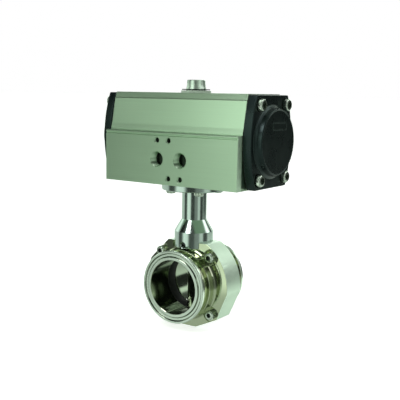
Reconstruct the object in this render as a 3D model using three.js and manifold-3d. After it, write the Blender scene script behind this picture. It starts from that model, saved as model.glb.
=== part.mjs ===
// A sanitary butterfly valve for a 2 inch clamped pipe, turned a quarter turn by a double-acting
// rack-and-pinion pneumatic actuator that stands on a round yoke.
// Millimetres, +Z up along the stem. The origin is where the pipe axis (Y) crosses the stem axis (Z).
// The actuator's cylinder lies along X. Everything is drawn with the disc half open.
import * as THREE from 'three';
import { mergeVertices } from 'three/addons/utils/BufferGeometryUtils.js';
import Module from 'manifold-3d';

const wasm = await Module();
wasm.setup();

// ---------------------------------------------------------------- driving dimensions
const CLEAR = 0.3; // gap kept between neighbouring pieces
const SCREW_CLEAR = 0.3; // screw shank to the wall of its hole
const PAST = 1; // how far a cutting shape runs past the surface that it opens

const pipe = { bore: 23.75, rim: 32, rimThick: 2.9, neck: 26.6, frontFace: 31.4, rearFace: 34.4 };
const gasketGroove = { radius: 28.2, halfWidth: 1.8, depth: 1.2 };
const body = { radius: 43, halfThick: 11, faceRise: 1.2, top: 37.5, bottom: -38, hub: 31.3, hubFace: 20 };
const bodyBolt = { upper: [26, 26.5], lower: [27.6, -23.9], seat: 10.6, spotface: 7.5 };
const seat = { inner: 23.4, outer: 28, halfWidth: 5.5, bead: 0.6 };
const disc = { radius: 23.1, rimThick: 2.6, hubThick: 8.4, stem: 5, stemTop: 40, bottom: -34.6 };
const square = { side: 7, top: 56.5 }; // the drive square on top of the stem
const bush = { inner: 5.2, outer: 6.6, upperLength: 8.2, lowerLength: 6.2 };

const yoke = { collar: 17.2, tube: 11, flange: 29, bore: 8.6, boltCircle: 42, counterbore: 1.5 };
const yokeLevel = { foot: 32, slotTop: 37.8, coneBottom: 46.1, coneTop: 56.8, flange: 83, top: 89.9 };
const setScrew = { level: 34.8, tip: 11.4, top: 16.4, socketFloor: 14 };

const housing = { halfLength: 68, axisZ: 128.4, bore: 26, top: 167.1, bottom: 89.9 };
const pad = { y: -40, top: 134.3, portZ: 111.3, portSpacing: 24, screwSpacing: 32, screwStep: 12 };
const port = { radius: 5.9, mouth: 6.75, floor: -29 };
const padScrew = { radius: 2.1, mouth: 2.7, floor: -31 };
const duct = { y: -25.5, z: 104, radius: 2 };
const washer = { inner: 9.4, outer: 13, top: 169.1, recess: 0.4 };
const lowerBore = { radius: 11.8, bush: 13.4, bushTop: 97.2, groove: 13.2, ringLow: 98.6, ringHigh: 101.2 };
const upperBore = { radius: 9.4, bush: 11.2, bushFoot: 160, groove: 11.2, ringLow: 156, ringHigh: 158.4 };
const cap = { inner: 68.6, outer: 76.2, boss: 82.4, bossRadius: 27.2, halfHeight: 38.1 };
const capSide = { halfWidth: 33.5, cornerHalfWidth: 25.7, cornerRound: 1.4 };
const capScrew = { y: 21, z: 30, seat: 74.3, tip: 52.5, holeDepth: 17 };

const gear = { module: 1.25, teeth: 16, halfFace: 10, pressureAngle: Math.PI / 9, backlash: 0.2 };
gear.pitchRadius = (gear.module * gear.teeth) / 2;
const pinion = { bottom: 90.2, lowerJournal: 11.5, shaft: 8.2, upperJournal: 9, head: 7.8, top: 178.2 };
const pinionSocket = { side: 11.2, top: 105 };
const clip = { groove: 7.9, inner: 8.1, outer: 12.4, bottom: 169.5, top: 170.3, gap: 1.6 };
const coupling = { radius: 8, bottom: 40.5, top: 90, squareTop: 103.5, socketTop: 57.5 };
const piston = { radius: 25.8, outerFace: 59.5, innerFace: 45.5, dish: 18, dishFloor: 53.5 };
const rack = { halfHeight: 8, teeth: 8, back: -19, end: 17 };
const sealGroove = { floor: 22.9, from: 57.2, to: 54.4 };
const bandGroove = { floor: 24.4, from: 52.8, to: 47.6 };

const M4 = { shank: 2, socket: 2 };
const M5 = { shank: 2.5, head: 4.25, headHeight: 5, socket: 4, nut: 8, nutHeight: 4 };
const M6 = { shank: 3, head: 5, headHeight: 6, socket: 5 };

const REST_TURN = -Math.PI / 4; // the disc at rest, counted from shut

const ROUND = 24; // sides on a large circle
const MEDIUM = 16; // sides on a port or a spotface
const SMALL = 8; // sides on a screw or its hole

// ---------------------------------------------------------------- materials
const finish = (color, roughness, metalness) => ({ color, roughness, metalness });
const materials = {
  aluminium: finish(0xafc2b0, 0.42, 1),
  black: finish(0x232d2d, 0.45, 0),
  stainless: finish(0xc3d2c5, 0.16, 1),
  brushedStainless: finish(0xb4c8b6, 0.34, 1),
  fastener: finish(0xb9c4b8, 0.28, 1),
  darkSteel: finish(0x3a403d, 0.4, 1),
  steel: finish(0x8e9690, 0.35, 1),
  castAluminium: finish(0xa3aaa5, 0.5, 1),
  rubber: finish(0x15191a, 0.7, 0),
  polymer: finish(0xdfe3d8, 0.5, 0),
};

// ---------------------------------------------------------------- solids
// A closed manifold solid from a three.js geometry, with its faces pointing out.
function solid(geometry) {
  const bare = geometry.index ? geometry.toNonIndexed() : geometry.clone();
  bare.deleteAttribute('normal');
  bare.deleteAttribute('uv');
  const merged = mergeVertices(bare, 1e-4);
  const points = merged.attributes.position;
  const corner = [0, 1, 2].map(() => new THREE.Vector3());
  const triangles = [];
  let volume = 0;
  for (let i = 0; i < merged.index.count; i += 3) {
    const face = [0, 1, 2].map((k) => merged.index.getX(i + k));
    if (new Set(face).size < 3) continue;
    face.forEach((vertex, k) => corner[k].fromBufferAttribute(points, vertex));
    volume += corner[0].dot(corner[1].clone().cross(corner[2]));
    triangles.push(face);
  }
  const ordered = volume < 0 ? triangles.map(([a, b, c]) => [a, c, b]) : triangles;
  const vertProperties = new Float32Array(points.array);
  const triVerts = new Uint32Array(ordered.flat());
  return new wasm.Manifold(new wasm.Mesh({ numProp: 3, vertProperties, triVerts }));
}

const join = (first, ...rest) => rest.reduce((whole, next) => whole.add(next), first);
const cut = (first, ...rest) => rest.reduce((whole, next) => whole.subtract(next), first);

// A body of revolution: the profile is [radius, distance along the axis] from the axis and back.
function turned(axis, profile, segments = ROUND, at = [0, 0, 0]) {
  const points = profile.map(([radius, along]) => new THREE.Vector2(radius, along));
  const geometry = new THREE.LatheGeometry(points, segments);
  if (axis === 'x') geometry.rotateZ(-Math.PI / 2);
  if (axis === 'z') geometry.rotateX(Math.PI / 2);
  return solid(geometry.translate(...at));
}

function rod(axis, radius, start, end, segments, at) {
  return turned(axis, [[0, start], [radius, start], [radius, end], [0, end]], segments, at);
}

function ring(axis, inner, outer, start, end, segments, at) {
  const profile = [[inner, start], [outer, start], [outer, end], [inner, end], [inner, start]];
  return turned(axis, profile, segments, at);
}

// A ring of round section, such as an O-ring.
function torus(axis, radius, section, along) {
  const sides = 6;
  const turn = (i) => ((i % sides) * 2 * Math.PI) / sides;
  const profile = Array.from({ length: sides + 1 }, (_, i) => [
    radius + section * Math.cos(turn(i)),
    along + section * Math.sin(turn(i)),
  ]);
  return turned(axis, profile);
}

// A flat shape pushed along an axis. It is drawn in (y, z) for x and in (x, y) for z.
function prism(axis, shape, start, end) {
  const options = { depth: end - start, bevelEnabled: false };
  const geometry = new THREE.ExtrudeGeometry(shape, options);
  const [x, y, z] = [0, 1, 2].map((k) => new THREE.Vector3().setComponent(k, 1));
  const place = new THREE.Matrix4();
  if (axis === 'x') place.makeBasis(y, z, x).setPosition(start, 0, 0);
  if (axis === 'z') place.setPosition(0, 0, start);
  return solid(geometry.applyMatrix4(place));
}

const polygon = (points) => new THREE.Shape(points.map(([a, b]) => new THREE.Vector2(a, b)));

function block([x0, x1], [y0, y1], [z0, z1]) {
  const geometry = new THREE.BoxGeometry(x1 - x0, y1 - y0, z1 - z0);
  return solid(geometry.translate((x0 + x1) / 2, (y0 + y1) / 2, (z0 + z1) / 2));
}

const both = (half) => [-half, half];
const squareBar = (side, start, end) => block(both(side / 2), both(side / 2), [start, end]);

// A regular prism with this width across its flats.
function hexagon(axis, acrossFlats, start, end, at) {
  return rod(axis, acrossFlats / Math.sqrt(3), start, end, 6, at);
}

// The four corners of a rectangle, from the one with both signs plus, anticlockwise.
const corners = (a, b) => [[a, b], [-a, b], [-a, -b], [a, -b]];

// A socket-head screw along an axis. The head's underside is at seatAt and the shank runs to tipAt.
function socketScrew(axis, size, seatAt, tipAt, at) {
  const edge = 0.5;
  const out = Math.sign(seatAt - tipAt);
  const top = seatAt + out * size.headHeight;
  const shank = rod(axis, size.shank, seatAt + out * edge, tipAt, SMALL, at);
  const rim = [[size.head, seatAt], [size.head, top - out * edge], [size.head - edge, top]];
  const socketFloor = top - out * size.headHeight * 0.55;
  const socket = hexagon(axis, size.socket, top + out * PAST, socketFloor, at);
  return cut(join(turned(axis, [[0, seatAt], ...rim, [0, top]], SMALL, at), shank), socket);
}

// ---------------------------------------------------------------- the assembly
const valve = new THREE.Group();

function add(name, whole, look, group = valve) {
  const result = whole.getMesh();
  const geometry = new THREE.BufferGeometry();
  const count = result.numProp;
  const positions = new Float32Array((result.vertProperties.length / count) * 3);
  for (let i = 0; i < positions.length / 3; i += 1) {
    positions.set(result.vertProperties.subarray(i * count, i * count + 3), i * 3);
  }
  geometry.setAttribute('position', new THREE.BufferAttribute(positions, 3));
  geometry.setIndex(new THREE.BufferAttribute(new Uint32Array(result.triVerts), 1));
  geometry.computeVertexNormals();
  const mesh = new THREE.Mesh(geometry, new THREE.MeshStandardMaterial(materials[look]));
  mesh.name = name;
  group.add(mesh);
}

// ---------------------------------------------------------------- valve body
// The straight cuts on the round body, seen along the pipe: top, foot and trimmed corners.
// Each is a direction from +X towards +Z, in degrees, and a distance from the pipe's axis.
const bodyFlats = [
  { angle: 90, reach: body.top },
  { angle: -90, reach: -body.bottom },
  { angle: 135, reach: 40.4 },
  { angle: -23, reach: 41 },
  { angle: -157, reach: 41 },
  { angle: -65, reach: 39.3 },
  { angle: -115, reach: 39.3 },
];

// The material beyond a straight cut.
function beyond({ angle, reach }) {
  const size = 60;
  const box = new THREE.BoxGeometry(size, size, size).translate(reach + size / 2, 0, 0);
  return solid(box.rotateY(-THREE.MathUtils.degToRad(angle)));
}

const boltPlaces = [bodyBolt.upper, bodyBolt.lower].flatMap(([x, z]) => [[x, z], [-x, z]]);

// A half from the split at y = 0 to its ferrule's face. The side is -1 at the front and 1 at the rear.
function bodyHalf(side, face) {
  const along = (profile) => profile.map(([radius, y]) => [radius, side * y]);
  const shoulder = body.halfThick + body.faceRise;
  const fillet = 1.6;
  const edge = [[body.radius, 0], [body.radius, body.halfThick], [body.hub + 2, shoulder]];
  const plate = [[0, 0], ...edge, [0, shoulder]];

  const rimBack = face - pipe.rimThick;
  const rimTaper = 1.2;
  const { radius: groove, halfWidth, depth } = gasketGroove;
  const hub = [
    [0, 0],
    [body.hub + fillet, 0],
    [body.hub + fillet, shoulder - 0.2],
    [body.hub, shoulder + fillet],
    [body.hub, body.hubFace],
    [pipe.neck, body.hubFace],
    [pipe.neck, rimBack - rimTaper],
    [pipe.rim, rimBack],
    [pipe.rim, face],
    [groove + halfWidth, face],
    [groove + halfWidth / 2, face - depth],
    [groove - halfWidth / 2, face - depth],
    [groove - halfWidth, face],
    [0, face],
  ];

  const pocket = { radius: seat.outer + CLEAR, halfWidth: seat.halfWidth + CLEAR };
  const bore = [
    [0, -PAST],
    [pocket.radius, -PAST],
    [pocket.radius, pocket.halfWidth],
    [pipe.bore, pocket.halfWidth],
    [pipe.bore, face + PAST],
    [0, face + PAST],
  ];
  const bushHole = bush.outer + CLEAR;
  const legSeat = { halfWidth: 13.7, depth: yoke.collar + 0.5 };
  const milled = [side * body.halfThick, side * legSeat.depth].sort((a, b) => a - b);
  const boltHoles = boltPlaces.flatMap(([x, z]) => [
    rod('y', M5.shank + SCREW_CLEAR, -20, 20, SMALL, [x, 0, z]),
    rod('y', bodyBolt.spotface, side * bodyBolt.seat, side * (body.hubFace + PAST), MEDIUM, [x, 0, z]),
  ]);
  return cut(
    join(turned('y', along(plate)), turned('y', along(hub))),
    ...bodyFlats.map(beyond),
    turned('y', along(bore)),
    rod('z', bushHole, 20, body.top + PAST),
    rod('z', bushHole, disc.bottom - 2 * CLEAR, -20),
    block(both(legSeat.halfWidth), milled, [yokeLevel.foot - CLEAR, body.top + PAST]),
    ...boltHoles,
  );
}

function makeValveBody() {
  add('valve_body_front', bodyHalf(-1, pipe.frontFace), 'stainless');
  add('valve_body_rear', bodyHalf(1, pipe.rearFace), 'stainless');
  const nutTop = bodyBolt.seat + M5.nutHeight;
  boltPlaces.forEach(([x, z], i) => {
    const at = [x, 0, z];
    add(`body_bolt_${i + 1}`, socketScrew('y', M5, -bodyBolt.seat, nutTop + 1, at), 'fastener');
    const hole = rod('y', M5.shank + SCREW_CLEAR / 2, 0, nutTop + PAST, SMALL, at);
    add(`body_nut_${i + 1}`, cut(hexagon('y', M5.nut, bodyBolt.seat, nutTop, at), hole), 'fastener');
  });
}

// ---------------------------------------------------------------- seat, disc and stem
function makeSeat() {
  const { inner, outer, halfWidth, bead } = seat;
  const lip = 1.5;
  const profile = [
    [inner + bead, -halfWidth],
    [outer, -halfWidth],
    [outer, halfWidth],
    [inner + bead, halfWidth],
    [inner, halfWidth - lip],
    [inner, lip - halfWidth],
    [inner + bead, -halfWidth],
  ];
  const stemHole = rod('z', disc.stem + 0.35, ...both(seat.outer + 10));
  add('seat_ring', cut(turned('y', profile), stemHole), 'rubber');
}

// The disc lies across the pipe when shut: a lens with a round stem through it from top to foot.
function makeDisc(group) {
  const half = disc.rimThick / 2;
  const hubHalf = disc.hubThick / 2;
  const edge = 0.4;
  const steps = 4;
  const lens = [[0, -hubHalf]];
  for (let i = 1; i <= steps; i += 1) {
    const part = i / steps;
    lens.push([(disc.radius - edge) * part, (hubHalf - half) * part * part - hubHalf]);
  }
  lens.push([disc.radius, edge - half], [disc.radius, half - edge]);
  for (let i = steps; i >= 0; i -= 1) {
    lens.push([lens[i][0], -lens[i][1]]);
  }
  const stem = rod('z', disc.stem, disc.bottom, disc.stemTop);
  const drive = squareBar(square.side, disc.stemTop - 1, square.top);
  add('disc_and_stem', join(turned('y', lens), stem, drive), 'stainless', group);
}

function makeStemBushes() {
  const top = body.top - CLEAR;
  const foot = disc.bottom - CLEAR;
  add('upper_stem_bush', ring('z', bush.inner, bush.outer, top - bush.upperLength, top), 'polymer');
  add('lower_stem_bush', ring('z', bush.inner, bush.outer, foot, foot + bush.lowerLength), 'polymer');
}

// ---------------------------------------------------------------- yoke
const yokeScrewPlaces = corners(yoke.boltCircle / Math.sqrt(8), yoke.boltCircle / Math.sqrt(8));
const YOKE_SCREW_REACH = 8; // how far the screws go up into the housing

// A collar whose two legs straddle the body, a cone, a slim tube and the flange under the actuator.
function makeYoke() {
  const { collar, tube, flange, bore } = yoke;
  const { foot, slotTop, coneBottom, coneTop, top } = yokeLevel;
  const fillet = 1.5;
  const profile = [
    [bore, foot],
    [collar, foot],
    [collar, coneBottom],
    [tube, coneTop],
    [tube, yokeLevel.flange - fillet],
    [tube + fillet, yokeLevel.flange],
    [flange, yokeLevel.flange],
    [flange, top],
    [bore, top],
    [bore, foot],
  ];
  const screwSeat = yokeLevel.flange + yoke.counterbore;
  const holes = yokeScrewPlaces.flatMap(([x, y]) => [
    rod('z', M5.shank + SCREW_CLEAR, screwSeat - PAST, top + PAST, SMALL, [x, y, 0]),
    rod('z', M5.head + CLEAR, yokeLevel.flange - PAST, screwSeat, SMALL, [x, y, 0]),
  ]);
  const slot = block(both(collar + PAST), both(body.halfThick + 0.2), [foot - PAST, slotTop]);
  const setScrewAt = [0, 0, setScrew.level];
  const setScrewHole = rod('y', M4.shank + SCREW_CLEAR / 2, ...both(collar + PAST), SMALL, setScrewAt);
  add('yoke', cut(turned('z', profile), slot, setScrewHole, ...holes), 'stainless');

  yokeScrewPlaces.forEach(([x, y], i) => {
    const screw = socketScrew('z', M5, screwSeat, top + YOKE_SCREW_REACH, [x, y, 0]);
    add(`yoke_screw_${i + 1}`, screw, 'fastener');
  });
  [['front', -1], ['rear', 1]].forEach(([name, side]) => {
    const grub = rod('y', M4.shank, side * setScrew.tip, side * setScrew.top, SMALL, setScrewAt);
    const socketTop = side * (setScrew.top + PAST);
    const socket = hexagon('y', M4.socket, side * setScrew.socketFloor, socketTop, setScrewAt);
    add(`set_screw_${name}`, cut(grub, socket), 'darkSteel');
  });
}

// ---------------------------------------------------------------- actuator housing
// The extruded section, as (y, z): a shallow step under the top, sides that flare down to a ledge,
// a foot that tapers in again at the back, and the port pad standing out at the front.
function housingSection() {
  const topHalf = 25.6;
  const groove = { depth: 0.7, top: 132, foot: 131.4 };
  const side = [[topHalf, housing.top], [27.2, 162.3], [32.6, 138.4], [33.2, pad.top]];
  const back = [[33.2, 121.8], [topHalf, housing.bottom]];
  const front = [
    [pad.y + groove.depth, pad.top],
    [pad.y, pad.top - groove.depth],
    [pad.y, groove.top + 0.4],
    [pad.y + groove.depth, groove.top],
    [pad.y + groove.depth, groove.foot],
    [pad.y, groove.foot - 0.4],
    [pad.y, housing.bottom],
  ];
  const mirrored = side.map(([y, z]) => [-y, z]);
  return polygon([...front, ...back.toReversed(), ...side.toReversed(), ...mirrored]);
}

const portPlaces = [-1, 1].map((side) => [(side * pad.portSpacing) / 2, pad.portZ]);
// The screw pattern: at each height one hole over a port and one between the ports.
const padScrewPlaces = [[-1, 1], [0, 1], [0, -1], [1, -1]].map(([step, side]) => [
  step * pad.screwStep,
  pad.portZ + (side * pad.screwSpacing) / 2,
]);
const capScrewPlaces = corners(capScrew.y, capScrew.z).map(([y, z]) => [y, housing.axisZ + z]);

// A round hole in the pad with a chamfered mouth.
function padHole([x, z], radius, mouth, floor) {
  const profile = [
    [0, pad.y - PAST],
    [mouth + PAST, pad.y - PAST],
    [mouth, pad.y],
    [radius, pad.y + mouth - radius],
    [radius, floor],
    [0, floor],
  ];
  return turned('y', profile, radius > padScrew.radius ? MEDIUM : SMALL, [x, 0, z]);
}

// Air goes from the first port to the middle of the cylinder, and from the second to both ends.
function airways() {
  const sides = 10;
  const start = port.floor - PAST;
  const [[toCentre], [toEnds]] = portPlaces;
  return [
    rod('y', 2.5, start, -15, sides, [toCentre, 0, pad.portZ]),
    rod('y', 1.8, start, duct.y, sides, [toEnds, 0, pad.portZ - 4]),
    rod('x', duct.radius, ...both(housing.halfLength + PAST), sides, [0, duct.y, duct.z]),
  ];
}

function makeHousing() {
  const { halfLength, axisZ, top, bottom } = housing;
  const recessFloor = top - washer.recess;
  const below = bottom - PAST;
  const above = top + PAST;
  const holes = [
    rod('x', housing.bore, ...both(halfLength + PAST), ROUND, [0, 0, axisZ]),
    rod('z', lowerBore.radius, below, axisZ - 18),
    rod('z', lowerBore.bush, below, lowerBore.bushTop),
    rod('z', lowerBore.groove, lowerBore.ringLow, lowerBore.ringHigh),
    rod('z', upperBore.radius, axisZ + 20, above),
    rod('z', upperBore.bush, upperBore.bushFoot, above),
    rod('z', upperBore.groove, upperBore.ringLow, upperBore.ringHigh),
    rod('z', washer.outer + 0.4, recessFloor, above),
    ...portPlaces.map((place) => padHole(place, port.radius, port.mouth, port.floor)),
    ...padScrewPlaces.map((place) => padHole(place, padScrew.radius, padScrew.mouth, padScrew.floor)),
    ...airways(),
  ];
  const capScrewHole = M6.shank + SCREW_CLEAR;
  capScrewPlaces.forEach(([y, z]) => {
    const floor = halfLength - capScrew.holeDepth;
    holes.push(rod('x', capScrewHole, floor, halfLength + PAST, SMALL, [0, y, z]));
    holes.push(rod('x', capScrewHole, -halfLength - PAST, -floor, SMALL, [0, y, z]));
  });
  yokeScrewPlaces.forEach(([x, y]) => {
    const end = bottom + YOKE_SCREW_REACH + 1;
    holes.push(rod('z', M5.shank + SCREW_CLEAR, below, end, SMALL, [x, y, 0]));
  });
  add('actuator_housing', cut(prism('x', housingSection(), -halfLength, halfLength), ...holes), 'aluminium');

  const wall = 0.1; // between a bush and its bore
  const pinionBush = (bore, foot, end) => ring('z', bore.radius - wall, bore.bush - wall, foot, end);
  const bushFoot = upperBore.bushFoot + 0.2;
  add('lower_pinion_bush', pinionBush(lowerBore, pinion.bottom, lowerBore.bushTop - 0.2), 'polymer');
  add('upper_pinion_bush', pinionBush(upperBore, bushFoot, recessFloor - CLEAR), 'polymer');
  const middle = ({ ringLow, ringHigh }) => (ringLow + ringHigh) / 2;
  add('lower_pinion_seal', torus('z', 12.35, 0.6, middle(lowerBore)), 'rubber');
  add('upper_pinion_seal', torus('z', 10.3, 0.8, middle(upperBore)), 'rubber');
  add('thrust_washer', ring('z', washer.inner, washer.outer, recessFloor, washer.top), 'polymer');
}

// ---------------------------------------------------------------- end caps
// A flat-topped barrel in (y, z): arcs bulge at the sides between four small corner rounds.
function capOutline(inset = 0) {
  const { halfHeight } = cap;
  const { halfWidth, cornerHalfWidth, cornerRound } = capSide;
  const bulge = halfWidth - cornerHalfWidth;
  const radius = (halfHeight ** 2 + bulge ** 2) / (2 * bulge);
  const sweep = Math.asin((halfHeight - 1.5) / radius);
  const steps = 6;
  const cornerY = cornerHalfWidth - cornerRound - inset;
  const points = [];
  [1, -1].forEach((side) => {
    for (let i = 0; i <= steps; i += 1) {
      const turn = side * sweep * (1 - (2 * i) / steps);
      const y = side * (halfWidth - inset - radius * (1 - Math.cos(turn)));
      points.push([y, housing.axisZ + (radius - inset) * Math.sin(turn)]);
    }
    const z = housing.axisZ - side * (halfHeight - inset);
    points.push([side * cornerY, z], [-side * cornerY, z]);
  });
  return polygon(points);
}

// A group for a piece that is drawn at one end and turned half round for the other.
function halfTurn(turned180) {
  const group = new THREE.Group();
  if (turned180) group.rotation.z = Math.PI;
  valve.add(group);
  return group;
}

function capScrewHoles(radius, start, end) {
  return capScrewPlaces.map(([y, z]) => rod('x', radius, start, end, SMALL, [0, y, z]));
}

// Drawn at +X.
function makeEndCap(name) {
  const group = halfTurn(name === 'left');
  const ductY = name === 'left' ? -duct.y : duct.y;
  const centre = [0, 0, housing.axisZ];
  const { inner, outer, bossRadius } = cap;
  const past = cap.boss + PAST;
  const boss = [
    [0, inner],
    [bossRadius - 7, inner],
    [bossRadius - 7, outer - 0.2],
    [bossRadius + 1.8, outer - 0.2],
    [bossRadius + 0.5, outer + 1.1],
    [bossRadius, cap.boss - 1],
    [bossRadius - 1, cap.boss],
    [0, cap.boss],
  ];
  const pocket = { radius: 22, floor: 72.5 };
  // the airway from the duct's mouth to the cylinder
  const airway = polygon([
    [ductY * 1.08, duct.z - 2.2],
    [ductY * 1.08, duct.z + 2.2],
    [ductY * 0.5, 119],
    [ductY * 0.5, 112],
  ]);
  const whole = cut(
    join(prism('x', capOutline(), inner, outer), turned('x', boss, ROUND, centre)),
    rod('x', pocket.radius, inner - PAST, pocket.floor, ROUND, centre),
    prism('x', airway, inner - PAST, inner + 2.4),
    ...capScrewHoles(M6.shank + SCREW_CLEAR, inner - PAST, past),
    ...capScrewHoles(M6.head + 0.7, capScrew.seat, past),
  );
  add(`end_cap_${name}`, whole, 'black', group);
  const { halfLength } = housing;
  const gasket = cut(
    prism('x', capOutline(0.8), halfLength, inner),
    rod('x', housing.bore, halfLength - PAST, past, ROUND, centre),
    rod('x', duct.radius + CLEAR, halfLength - PAST, past, 10, [0, ductY, duct.z]),
    ...capScrewHoles(M6.shank + 2 * SCREW_CLEAR, halfLength - PAST, past),
  );
  add(`cap_gasket_${name}`, gasket, 'rubber', group);
  capScrewPlaces.forEach(([y, z], i) => {
    const screw = socketScrew('x', M6, capScrew.seat, capScrew.tip, [0, y, z]);
    add(`cap_screw_${name}_${i + 1}`, screw, 'fastener', group);
  });
}

// ---------------------------------------------------------------- pinion and coupling
// Half the tooth's thickness at this radius, as an angle, on an involute of the pitch circle.
function toothHalfAngle(radius) {
  const base = gear.pitchRadius * Math.cos(gear.pressureAngle);
  const involute = (angle) => Math.tan(angle) - angle;
  const atPitch = (Math.PI / 2) / gear.teeth - gear.backlash / (2 * gear.pitchRadius);
  const roll = radius > base ? Math.acos(base / radius) : 0;
  return atPitch + involute(gear.pressureAngle) - involute(roll);
}

function gearShape() {
  const root = gear.pitchRadius - 1.3 * gear.module;
  const tip = gear.pitchRadius + 0.9 * gear.module;
  const radii = [root, gear.pitchRadius * 0.97, gear.pitchRadius * 1.03, tip];
  const points = [];
  const put = (radius, angle) => points.push([radius * Math.cos(angle), radius * Math.sin(angle)]);
  for (let tooth = 0; tooth < gear.teeth; tooth += 1) {
    const middle = (tooth * 2 * Math.PI) / gear.teeth;
    radii.forEach((radius) => put(radius, middle - toothHalfAngle(radius)));
    radii.toReversed().forEach((radius) => put(radius, middle + toothHalfAngle(radius)));
  }
  return polygon(points);
}

function makePinion(group) {
  const { bottom, lowerJournal, shaft, upperJournal, head, top } = pinion;
  const { axisZ } = housing;
  const edge = 0.6;
  const collar = { radius: head + 1, top: 172 };
  const profile = [
    [0, bottom],
    [lowerJournal, bottom],
    [lowerJournal, 103],
    [shaft, 104.5],
    [shaft, 152],
    [upperJournal, 152.8],
    [upperJournal, clip.bottom - 0.1],
    [clip.groove, clip.bottom - 0.1],
    [clip.groove, clip.top + 0.1],
    [collar.radius, clip.top + 0.1],
    [collar.radius, collar.top],
    [head, collar.top + edge],
    [head, top - edge],
    [head - edge, top],
    [0, top],
  ];
  const teeth = prism('z', gearShape(), axisZ - gear.halfFace, axisZ + gear.halfFace);
  const slot = block(both(2), both(head + PAST), [top - 3, top + PAST]);
  const tapped = rod('z', M5.shank, top - 9, top + PAST, 12);
  const socket = squareBar(pinionSocket.side, bottom - PAST, pinionSocket.top);
  add('drive_pinion', cut(join(turned('z', profile), teeth), socket, slot, tapped), 'steel', group);
  const gap = block(both(clip.gap), [5, clip.outer + PAST], [clip.bottom - PAST, clip.top + PAST]);
  add('snap_ring', cut(ring('z', clip.inner, clip.outer, clip.bottom, clip.top), gap), 'darkSteel', group);
}

// The sleeve inside the yoke that joins the stem's square to the pinion's square socket.
function makeCoupling(group) {
  const { radius, bottom, top, squareTop, socketTop } = coupling;
  const edge = 0.6;
  const barrel = [[0, bottom], [radius, bottom], [radius, top - edge], [radius - edge, top], [0, top]];
  const upper = squareBar(pinionSocket.side - 0.5, top - 1, squareTop);
  const socket = squareBar(square.side + 0.5, bottom - PAST, socketTop);
  add('stem_coupling', cut(join(turned('z', barrel), upper), socket), 'steel', group);
}

// ---------------------------------------------------------------- pistons
// The rack bar seen from above: its teeth point at the pinion from the -Y side.
function rackShape() {
  const pitch = Math.PI * gear.module;
  const slope = Math.tan(gear.pressureAngle);
  const pitchLine = -gear.pitchRadius;
  const tip = pitchLine + 0.9 * gear.module;
  const root = pitchLine - 1.25 * gear.module;
  const halfTooth = pitch / 4 - 0.05;
  const atRoot = halfTooth + (pitchLine - root) * slope;
  const atTip = halfTooth - (tip - pitchLine) * slope;
  const start = -piston.innerFace - 1;
  const points = [[start, rack.back], [rack.end, rack.back], [rack.end, root]];
  for (let i = rack.teeth / 2 - 1; i >= -rack.teeth / 2; i -= 1) {
    const middle = (i + 0.5) * pitch;
    points.push([middle + atRoot, root], [middle + atTip, tip]);
    points.push([middle - atTip, tip], [middle - atRoot, root]);
  }
  points.push([start, root]);
  return polygon(points);
}

// Drawn as the left piston, with its rack on the front side.
function makePiston(name) {
  const group = halfTurn(name === 'right');
  const { radius, outerFace, innerFace, dish, dishFloor } = piston;
  const { axisZ } = housing;
  const centre = [0, 0, axisZ];
  const edge = 0.8;
  const profile = [[0, -dishFloor], [dish, -dishFloor], [dish, -outerFace], [radius - edge, -outerFace]];
  profile.push([radius, edge - outerFace]);
  [sealGroove, bandGroove].forEach(({ floor, from, to }) => {
    profile.push([radius, -from], [floor, -from], [floor, -to], [radius, -to]);
  });
  profile.push([radius, -innerFace], [0, -innerFace]);
  const bar = prism('z', rackShape(), axisZ - rack.halfHeight, axisZ + rack.halfHeight);
  add(`piston_${name}`, join(turned('x', profile, ROUND, centre), bar), 'castAluminium', group);

  const seal = torus('x', 24.4, 1.35, (-sealGroove.from - sealGroove.to) / 2);
  add(`piston_seal_${name}`, seal.translate([0, 0, axisZ]), 'rubber', group);
  const bandSpan = [0.2 - bandGroove.from, -bandGroove.to - 0.2];
  const band = ring('x', bandGroove.floor + 0.15, radius + 0.05, ...bandSpan, ROUND, centre);
  add(`piston_band_${name}`, band, 'polymer', group);
  const guide = block(both(12), [-25, rack.back - 0.1], [axisZ - 4, axisZ + 4]);
  add(`rack_guide_${name}`, guide, 'polymer', group);
}

// ---------------------------------------------------------------- put it together
makeValveBody();
makeSeat();
makeStemBushes();
makeYoke();
makeHousing();
['left', 'right'].forEach((name) => {
  makeEndCap(name);
  makePiston(name);
});

// The pinion, coupling, stem and disc turn as one. The rest turn is a whole number of teeth.
const turning = new THREE.Group();
turning.rotation.z = REST_TURN;
valve.add(turning);
makeDisc(turning);
makeCoupling(turning);
makePinion(turning);

export default valve;
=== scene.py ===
import math

import bmesh
import bpy
from mathutils import Matrix, Vector

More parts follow.
